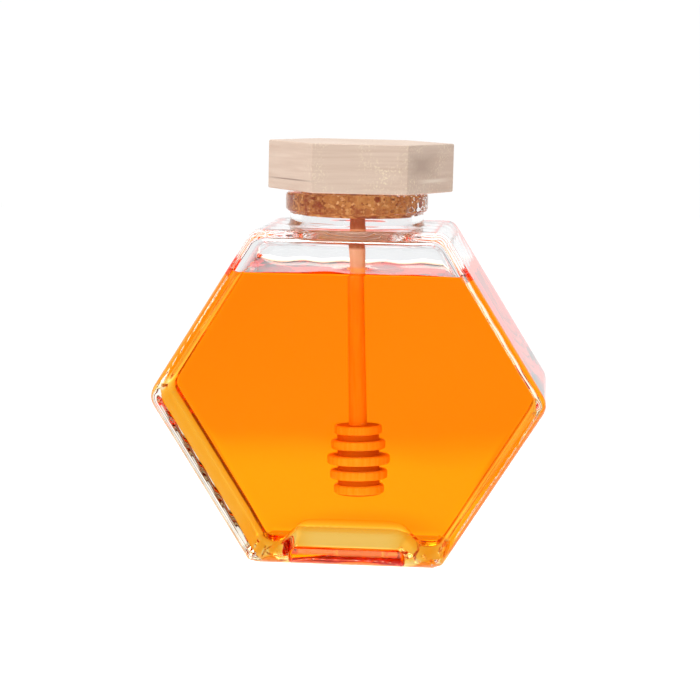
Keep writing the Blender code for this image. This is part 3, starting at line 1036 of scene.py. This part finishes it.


# %% [markdown]
# ## Finish of the dipper
# Bare turned beech soaks up honey. Above the honey it looks dry and pale with a pink
# tinge. Below it is warm, and it is painted lighter there: painted light that makes up for
# the light the honey takes. Near the cork it is darker, as painted shade, and the grooves
# get painted shade too.
# The streaks run along the rod. Real fibres are far too fine to show at this size, so the
# streaks are drawn about a millimetre wide.

# %% Wood of the dipper
GRAIN_PER_METRE = (900.0, 900.0, 60.0)  # streaks 1.1 mm wide and 17 mm long
DRY_FROM, DRY_TO = HONEY_LEVEL - 1 * MM, HONEY_LEVEL + 1.5 * MM
SHADE_FROM, SHADE_TO = 93.5 * MM, 96 * MM  # heights between which painted shade under the cork darkens the rod

honey_wood, tree, out = new_material("turned beech soaked in honey")
spot = add(tree, "ShaderNodeTexCoord")
stretch = add(tree, "ShaderNodeMapping", {"Vector": spot.outputs["Object"], "Scale": GRAIN_PER_METRE})
grain = add(tree, "ShaderNodeTexNoise", {"Vector": stretch.outputs[0], "Scale": 1.0, "Detail": 4.0})
dry = add(tree, "ShaderNodeValToRGB", {
    "Fac": grain.outputs["Fac"],
}, stops=((0.3, "#DBAE88"), (0.7, "#EAC8A8")))
# painted light: under the honey the wood is drawn paler, to make up for the light the honey takes
wet = add(tree, "ShaderNodeValToRGB", {
    "Fac": grain.outputs["Fac"],
}, stops=((0.3, "#F4D8AE"), (0.7, "#FFEFD2")))
above = add(tree, "ShaderNodeSeparateXYZ", {0: spot.outputs["Object"]})
stained = add(tree, "ShaderNodeMapRange", {
    "Value": above.outputs["Z"], "From Min": DRY_FROM, "From Max": DRY_TO,
})
tone = add(tree, "ShaderNodeMix", {
    "Factor": stained.outputs[0], "A": wet.outputs[0], "B": dry.outputs[0],
}, data_type="RGBA")
# painted shade under the cork: the rod is darker towards it
shaded = add(tree, "ShaderNodeMapRange", {
    "Value": above.outputs["Z"], "From Min": SHADE_FROM, "From Max": SHADE_TO,
})
upper = add(tree, "ShaderNodeMix", {
    "Factor": shaded.outputs[0], "A": tone.outputs["Result"], "B": linear("#A9683E"),
}, data_type="RGBA")
# painted shade in the grooves, where less light reaches the wood
groove = add(tree, "ShaderNodeAttribute", attribute_name="groove", attribute_type="GEOMETRY")
deep = add(tree, "ShaderNodeMix", {
    "Factor": groove.outputs["Fac"], "A": upper.outputs["Result"], "B": linear("#C98C54"),
}, data_type="RGBA")
bump = add(tree, "ShaderNodeBump", {"Height": grain.outputs["Fac"], "Strength": 0.3, "Distance": 0.1 * MM})
skin = add(tree, "ShaderNodeBsdfPrincipled", {
    "Base Color": deep.outputs["Result"], "Roughness": 0.55, "Normal": bump.outputs[0],
})
tree.links.new(skin.outputs[0], out.inputs["Surface"])

# %% Make the dipper
CREASE = math.radians(40)

dipper = grow("honey_dipper", turning, {**SIZES, "Wood": honey_wood})
shape = bmesh.new()
shape.from_mesh(dipper.data)
bmesh.ops.recalc_face_normals(shape, faces=shape.faces)
print("dipper is closed:", all(len(edge.link_faces) == 2 for edge in shape.edges), len(shape.faces))
shape.to_mesh(dipper.data)
shape.free()
dipper.data.shade_smooth()
dipper.data.set_sharp_from_angle(angle=CREASE)
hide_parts("dipper")
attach(dipper, ROOT)
points = np.array([vertex.co for vertex in dipper.data.vertices]) / MM
print("dipper from", points.min(axis=0).round(1), "to", points.max(axis=0).round(1), "mm")

# %% [markdown]
# ## The honey
# Honey fills the glass up to its level, climbs the wall and the rod a little, and runs
# round the dipper. It could be cut out by Booleans, but then its skin would lie exactly
# on the glass's, where a renderer can't tell which comes first. So it is cast like the
# inner wall, and reaches a little into the glass and the wood. That leaves no film of air
# between, and only its free surface bends light on its own.

# %% Honey surface and the hole for the dipper
SURFACE_RINGS = 42
ROD_CLIMB = 1.1 * MM


def dipper_room():
    """Profile of the dipper from the honey's surface down, a little inside the wood."""
    profile = []
    for index, radius in enumerate(DISC_RADII):
        top = -ROD_LENGTH - index * (DISC_THICKNESS + GROOVE_WIDTH) - INTO_WALL
        low = top - DISC_THICKNESS + 2 * INTO_WALL
        rounding = DISC_ROUNDING
        neck = ROD_FOOT_RADIUS if index == 0 else GROOVE_RADIUS
        profile.append((neck - INTO_WALL, top))
        size = radius - rounding - INTO_WALL
        profile += [(r, z) for r, z, a, b in arc(size, top - rounding, rounding, 90, 0, 4)]
        profile += [(r, z) for r, z, a, b in arc(size, low + rounding, rounding, 0, -90, 4)]
        if index < len(DISC_RADII) - 1:
            profile.append((GROOVE_RADIUS - INTO_WALL, low))
    return profile + [(0.5 * DISC_RADII[-1], low - 0.6 * HEAD_DOME)]


def lean_over(points):
    """Take points from the dipper's own axis to its place in the bottle."""
    c, s = math.cos(ROD_LEAN), math.sin(ROD_LEAN)
    x, y, z = points[:, 0], points[:, 1], points[:, 2]
    return np.stack((x * c - z * s + ROD_TOP.x, y + ROD_TOP.y, x * s + z * c + ROD_TOP.z), axis=-1)


def round_ring(radius, z):
    """A ring about the dipper's own axis."""
    return lean_over(np.stack((radius * np.cos(turns), radius * np.sin(turns), np.full(TURNS, z)), axis=-1))


honey_form = new_form()
honey_meeting = contact_angles(INTO_WALL)
honey_walls = wall_rings(honey_meeting, np.full(TURNS, math.pi), WET_RINGS, 1.0, INTO_WALL)[:-1]
honey_loops = [add_ring(honey_form, ring, hollow_slope(ring)) for ring in honey_walls]
join_all(honey_form, honey_loops)
honey_pole = cast_to_wall(np.array((0.0, 0.0, -1.0)), INTO_WALL)
close_with_point(honey_form, honey_loops[-1], honey_pole, (0, 0, -1))

level_down = HONEY_LEVEL - ROD_TOP.z
rod_radius = ROD_TOP_RADIUS + (ROD_FOOT_RADIUS - ROD_TOP_RADIUS) * -level_down / ROD_LENGTH
rod_ring = round_ring(rod_radius - INTO_WALL, level_down)
rod_centre = rod_ring.mean(axis=0)
wall_ring = honey_walls[0]
climb = contact_height() - HONEY_LEVEL
surface_loops = [honey_loops[0]]
for share in (1 - np.cos(np.linspace(0, math.pi, SURFACE_RINGS + 1)[1:])) / 2:
    ring = wall_ring * (1 - share) + rod_ring * share
    ring[:, 2] = HONEY_LEVEL
    from_wall = np.maximum(-hollow_distance(ring), 0)
    from_rod = np.maximum(np.linalg.norm((ring - rod_centre)[:, :2], axis=1) - rod_radius, 0)
    ring[:, 2] += climb * np.exp(-from_wall / CURL) + ROD_CLIMB * np.exp(-from_rod / CURL)
    surface_loops.append(add_ring(honey_form, ring))
join_all(honey_form, surface_loops)

hole_loops = [surface_loops[-1]]
for r, z in dipper_room():
    hole_loops.append(add_ring(honey_form, round_ring(r, z)))
join_all(honey_form, hole_loops)
tip = lean_over(np.array([(0.0, 0.0, dipper_room()[-1][1] - 0.3 * HEAD_DOME)]))[0]
close_with_point(honey_form, hole_loops[-1], tip, (0, 0, 1))
print("honey is closed:", all(len(edge.link_faces) == 2 for edge in honey_form.edges))

# %% [markdown]
# ## Finish of the honey
# Honey is clear: it has no colour of its own skin, but takes blue and much green out of
# the light that goes through it, so thin honey is yellow and thick honey is amber. A
# coloured skin would look the same at every thickness; an absorbing volume doesn't. Its
# colour and density were chosen together, so that the bottle's whole depth gives amber.
# The skin bends light on the free surface only, which an attribute marks: against glass
# and wood the other piece does it.

# %% Honey material
HONEY_COLOUR = (0.998, 0.80, 0.17, 1.0)  # hardly takes any red, and most of the blue
HONEY_DENSITY = 155.0
NO_BEND = 1.0
SURFACE_DEPTH = 1 * MM  # a free face lies no deeper than this under the level
FACES_UP = 0.3  # least upward part of a free face's direction

amber, tree, out = new_material("clear amber honey")
free = add(tree, "ShaderNodeAttribute", attribute_name="free_surface")
bend = add(tree, "ShaderNodeMapRange", {
    "Value": free.outputs["Fac"], "To Min": NO_BEND, "To Max": HONEY_IOR,
})
skin = add(tree, "ShaderNodeBsdfPrincipled", {
    "Base Color": linear("#FFFFFF"), "Roughness": 0.0, "IOR": bend.outputs[0], "Transmission Weight": 1.0,
    "Specular Tint": linear(HELD_BACK),
})
let_lamps_through(tree, skin, out)
inside = add(tree, "ShaderNodeVolumeAbsorption", {
    "Color": HONEY_COLOUR, "Density": HONEY_DENSITY,
})
tree.links.new(inside.outputs[0], out.inputs["Volume"])

honey = finished_piece("honey_fill", honey_form, [amber])
mesh = honey.data
centres = np.zeros(len(mesh.polygons) * 3)
mesh.polygons.foreach_get("center", centres)
facings = np.zeros(len(mesh.polygons) * 3)
mesh.polygons.foreach_get("normal", facings)
heights, upward = centres[2::3], facings[2::3]
is_free = (upward > FACES_UP) & (heights > HONEY_LEVEL - SURFACE_DEPTH)
mark = mesh.attributes.new("free_surface", "FLOAT", "FACE")
mark.data.foreach_set("value", is_free.astype(float))
print("free surface faces:", int(is_free.sum()), "of", len(mesh.polygons))
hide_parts("honey")
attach(honey, ROOT)

# %% [markdown]
# ## The stopper
# Agglomerated cork is ground bark pressed with glue, so its side shows grains of about a
# millimetre in mixed browns, with small dark pits. A bump texture could draw the pits.
# Here the points of a plain plug are pushed in along the borders of random cells, so that
# the pits are real dents.

# %% Cork
LID_BOTTOM = 111.7 * MM
LID_TURN = math.radians(4.7)
LID_TILT = math.radians(0.66)
CORK_RADIUS = BORE + 0.1 * MM  # reaches just into the glass, so that no air shows between
CORK_LENGTH = 7.3 * MM
CORK_GAP = 0.3 * MM  # between the cork and the lid, as in the solids
CORK_EDGE = 0.5 * MM
CORK_SEGMENTS = 220
CORK_ROWS = 22
PIT_SPACING = 2.3 * MM
PIT_DEPTH = 0.16 * MM
PIT_BORDER = 0.18  # how wide a border is, as a share of the spacing
PITS_FROM = 0.98 * (CORK_RADIUS - CORK_EDGE)  # the flat ends inside this radius have none
turned_round = Matrix.Rotation(LID_TURN, 4, "Z") @ Matrix.Rotation(LID_TILT, 4, "Y")
closure = Matrix.Translation((0, 0, LID_BOTTOM)) @ turned_round

cork_form = new_form()
top = -CORK_GAP
bottom = top - CORK_LENGTH
profile = [(CORK_RADIUS * share, bottom) for share in (0.25, 0.5, 0.75, 0.9)]
edge_arc = arc(CORK_RADIUS - CORK_EDGE, bottom + CORK_EDGE, CORK_EDGE, -90, 0, 4)
profile += [(r, z) for r, z, a, b in edge_arc]
profile += [(CORK_RADIUS, z) for z in np.linspace(bottom + CORK_EDGE, top, CORK_ROWS)[1:]]
profile += [(CORK_RADIUS * share, top) for share in (0.9, 0.5, 0.2)]
rings = []
for r, z in profile:
    points = []
    for t in 2 * np.pi * np.arange(CORK_SEGMENTS) / CORK_SEGMENTS:
        spot = Vector((r * math.cos(t), r * math.sin(t), z))
        cells = noise.voronoi(spot / PIT_SPACING)[0]
        crack = min(1.0, (cells[1] - cells[0]) / PIT_BORDER)
        pit = PIT_DEPTH * (1 - crack) ** 2 if r > PITS_FROM else 0.0
        points.append(closure @ (spot * (1 - pit / max(r, pit))))
    rings.append(add_ring(cork_form, points))
join_all(cork_form, rings)
close_with_point(cork_form, rings[0], closure @ Vector((0, 0, bottom)), (0, 0, -1))
close_with_point(cork_form, rings[-1], closure @ Vector((0, 0, top)), (0, 0, 1))
print(f"cork {2 * CORK_RADIUS / MM:.1f} mm across and {CORK_LENGTH / MM} mm long")

# %% [markdown]
# ## Finish of the cork
# Pressed cork is dull and warm. Cells of a random pattern stand for the grains, each in
# its own brown, and a few larger patches are darker and redder.

# %% Cork material
GRAIN_SIZE = 0.75 * MM
PATCH_SIZE = 5 * MM
PORE_SIZE = 0.5 * MM

pressed_cork, tree, out = new_material("pressed cork")
spot = add(tree, "ShaderNodeTexCoord")
cells = add(tree, "ShaderNodeTexVoronoi", {"Vector": spot.outputs["Object"], "Scale": 1 / GRAIN_SIZE})
tint = add(tree, "ShaderNodeSeparateColor", {0: cells.outputs["Color"]})
grains = add(tree, "ShaderNodeValToRGB", {"Fac": tint.outputs[0]}, stops=(
    (0.0, "#8F4A26"), (0.3, "#BD7640"), (0.75, "#D0904F"), (1.0, "#EBB679"),
))
lumps = add(tree, "ShaderNodeTexNoise", {
    "Vector": spot.outputs["Object"], "Scale": 1 / PATCH_SIZE, "Detail": 2.0,
})
patches = add(tree, "ShaderNodeMapRange", {
    "Value": lumps.outputs["Fac"], "From Min": 0.5, "From Max": 0.66,
})
tone = add(tree, "ShaderNodeMix", {
    "Factor": patches.outputs[0], "A": grains.outputs[0], "B": linear("#9A4A2C"),
}, data_type="RGBA")
fine = add(tree, "ShaderNodeTexNoise", {
    "Vector": spot.outputs["Object"], "Scale": 1 / PORE_SIZE, "Detail": 4.0,
})
bump = add(tree, "ShaderNodeBump", {
    "Height": fine.outputs["Fac"], "Strength": 0.5, "Distance": 0.15 * MM,
})
skin = add(tree, "ShaderNodeBsdfPrincipled", {
    "Base Color": tone.outputs["Result"], "Roughness": 0.85, "Normal": bump.outputs[0],
})
tree.links.new(skin.outputs[0], out.inputs["Surface"])

cork = finished_piece("cork_stopper", cork_form, [pressed_cork])
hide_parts("cork")
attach(cork, ROOT)

# %% [markdown]
# ## The lid
# A thick hexagon of pale beech, sawn across a plank, sanded and with its edges just
# broken. Its grain runs across the bottle. A Bevel modifier could round its edges. The
# outlines are written out instead, so that the flat faces and the small roundings each
# get exact normals.

# %% Lid
LID_CORNER = 28.2 * MM
LID_HEIGHT = 14.6 * MM
LID_EDGE = 0.5 * MM
LID_OFFSET = 1.0 * MM
LID_ROUND = 0.6 * MM
STEPS_ROUND = 5


def lid_ring(form, inset, z, lift):
    """One outline of the lid, moved in by the inset, with its upright corners rounded."""
    points, facing = [], []
    for corner in range(6):
        bearing = math.pi / 3 * corner
        centre = LID_CORNER - LID_ROUND / math.cos(math.pi / 6)
        for angle in np.linspace(bearing - math.pi / 6, bearing + math.pi / 6, STEPS_ROUND):
            size = LID_ROUND - inset
            x = LID_OFFSET + centre * math.cos(bearing) + size * math.cos(angle)
            y = centre * math.sin(bearing) + size * math.sin(angle)
            points.append(closure @ Vector((x, y, z)))
            rise = math.sqrt(max(0.0, 1 - lift**2))
            way = Vector((math.cos(angle) * lift, math.sin(angle) * lift, rise))
            way.z = math.copysign(way.z, z - LID_HEIGHT / 2)
            facing.append(closure.to_3x3() @ way)
    return add_ring(form, points, facing)


lid_form = new_form()
steps = np.linspace(0, math.pi / 2, STEPS_ROUND)
profile = [(LID_EDGE * (1 - math.sin(a)), LID_EDGE * (1 - math.cos(a)), math.sin(a)) for a in steps]
profile += [(inset, LID_HEIGHT - z, lift) for inset, z, lift in reversed(profile)]
rings = [lid_ring(lid_form, inset, z, lift) for inset, z, lift in profile]
join_all(lid_form, rings)
lid_form.faces.new(rings[0][::-1])
lid_form.faces.new(rings[-1])
print(f"lid {2 * LID_CORNER / MM:.1f} mm over its corners and {LID_HEIGHT / MM} mm high")

# %% [markdown]
# ## Finish of the lid
# Sanded beech without varnish is pale, with a slight sheen and fine layers. Where the
# saw has cut through its rays it shows light flecks in loose clusters. A picture of wood
# could be laid on, but the layers have to run through the block and come out on every
# face, so the pattern is a solid one. Its flecks are random, and drawn coarser than real
# ones so that they show. Three larger marks are listed as soft blocks.

# %% Marks in the wood
MARK_FULL, MARK_GONE = 0.3, 1.3  # where a mark starts to fade and ends, in half its size
# a dark growth line on the left, a darker knot and a pale streak on the right, as the
# centre and size in millimetres and the colour
WOOD_MARKS = (
    ((-19, -12, 115.3), (15, 30, 0.5), "#93796A"),
    ((20, -15, 120), (9, 15, 7), "#AE9583"),
    ((24, -9, 115.2), (8, 14, 1.1), "#DCCBB9"),
)


def soft_block(tree, spot, centre, size):
    """A factor that is 1 inside a block given in millimetres and fades out at its sides."""
    moved = add(tree, "ShaderNodeVectorMath", {0: spot, 1: Vector(centre) * MM}, operation="SUBTRACT")
    shares = add(tree, "ShaderNodeVectorMath", {
        0: moved.outputs[0], 1: Vector(size) * MM / 2,
    }, operation="DIVIDE")
    far = add(tree, "ShaderNodeVectorMath", {0: shares.outputs[0]}, operation="ABSOLUTE")
    axes = add(tree, "ShaderNodeSeparateXYZ", {0: far.outputs[0]})
    flat = add(tree, "ShaderNodeMath", {0: axes.outputs["X"], 1: axes.outputs["Y"]}, operation="MAXIMUM")
    most = add(tree, "ShaderNodeMath", {0: flat.outputs[0], 1: axes.outputs["Z"]}, operation="MAXIMUM")
    return add(tree, "ShaderNodeMapRange", {
        "Value": most.outputs[0], "From Min": MARK_FULL, "From Max": MARK_GONE,
        "To Min": 1.0, "To Max": 0.0,
    }).outputs[0]


print(len(WOOD_MARKS), "marks in the wood of the lid")

# %% Wood of the lid
LAYERS_PER_METRE = (45.0, 60.0, 900.0)  # layers 22 mm wide, 17 mm deep and 1.1 mm thick
GRAIN_ROLL = 0.02
FLECK_SIZE = 0.6 * MM
CLUSTER_SIZE = 9 * MM
FLECKS_FROM, FLECKS_TO = -16 * MM, -6 * MM  # there are none on the left of this

pale_wood, tree, out = new_material("sanded pale beech")
spot = add(tree, "ShaderNodeTexCoord")
stretch = add(tree, "ShaderNodeMapping", {
    "Vector": spot.outputs["Object"], "Rotation": (GRAIN_ROLL, LID_TILT, LID_TURN),
    "Scale": LAYERS_PER_METRE,
})
layers = add(tree, "ShaderNodeTexNoise", {"Vector": stretch.outputs[0], "Scale": 1.0, "Detail": 5.0})
wood = add(tree, "ShaderNodeValToRGB", {
    "Fac": layers.outputs["Fac"],
}, stops=((0.3, "#C2A895"), (0.7, "#CEB7A5")))
rays = add(tree, "ShaderNodeTexNoise", {
    "Vector": spot.outputs["Object"], "Scale": 1 / FLECK_SIZE, "Detail": 2.0,
})
flecks = add(tree, "ShaderNodeMapRange", {
    "Value": rays.outputs["Fac"], "From Min": 0.52, "From Max": 0.72,
})
wide = add(tree, "ShaderNodeTexNoise", {
    "Vector": spot.outputs["Object"], "Scale": 1 / CLUSTER_SIZE, "Detail": 1.0,
})
where = add(tree, "ShaderNodeMapRange", {
    "Value": wide.outputs["Fac"], "From Min": 0.4, "From Max": 0.6,
})
share = add(tree, "ShaderNodeMath", {0: flecks.outputs[0], 1: where.outputs[0]}, operation="MULTIPLY")
place = add(tree, "ShaderNodeSeparateXYZ", {0: spot.outputs["Object"]})
rightward = add(tree, "ShaderNodeMapRange", {
    "Value": place.outputs["X"], "From Min": FLECKS_FROM, "From Max": FLECKS_TO,
})
fleck_share = add(tree, "ShaderNodeMath", {
    0: share.outputs[0], 1: rightward.outputs[0],
}, operation="MULTIPLY")
tone = add(tree, "ShaderNodeMix", {
    "Factor": fleck_share.outputs[0], "A": wood.outputs[0], "B": linear("#DFCEB1"),
}, data_type="RGBA")
for centre, size, colour in WOOD_MARKS:
    factor = soft_block(tree, spot.outputs["Object"], centre, size)
    tone = add(tree, "ShaderNodeMix", {
        "Factor": factor, "A": tone.outputs["Result"], "B": linear(colour),
    }, data_type="RGBA")
bump = add(tree, "ShaderNodeBump", {"Height": layers.outputs["Fac"], "Strength": 0.2, "Distance": 0.05 * MM})
skin = add(tree, "ShaderNodeBsdfPrincipled", {
    "Base Color": tone.outputs["Result"], "Roughness": 0.45, "Normal": bump.outputs[0],
})
tree.links.new(skin.outputs[0], out.inputs["Surface"])

lid = finished_piece("wooden_lid", lid_form, [pale_wood])
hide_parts("lid")
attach(lid, ROOT)
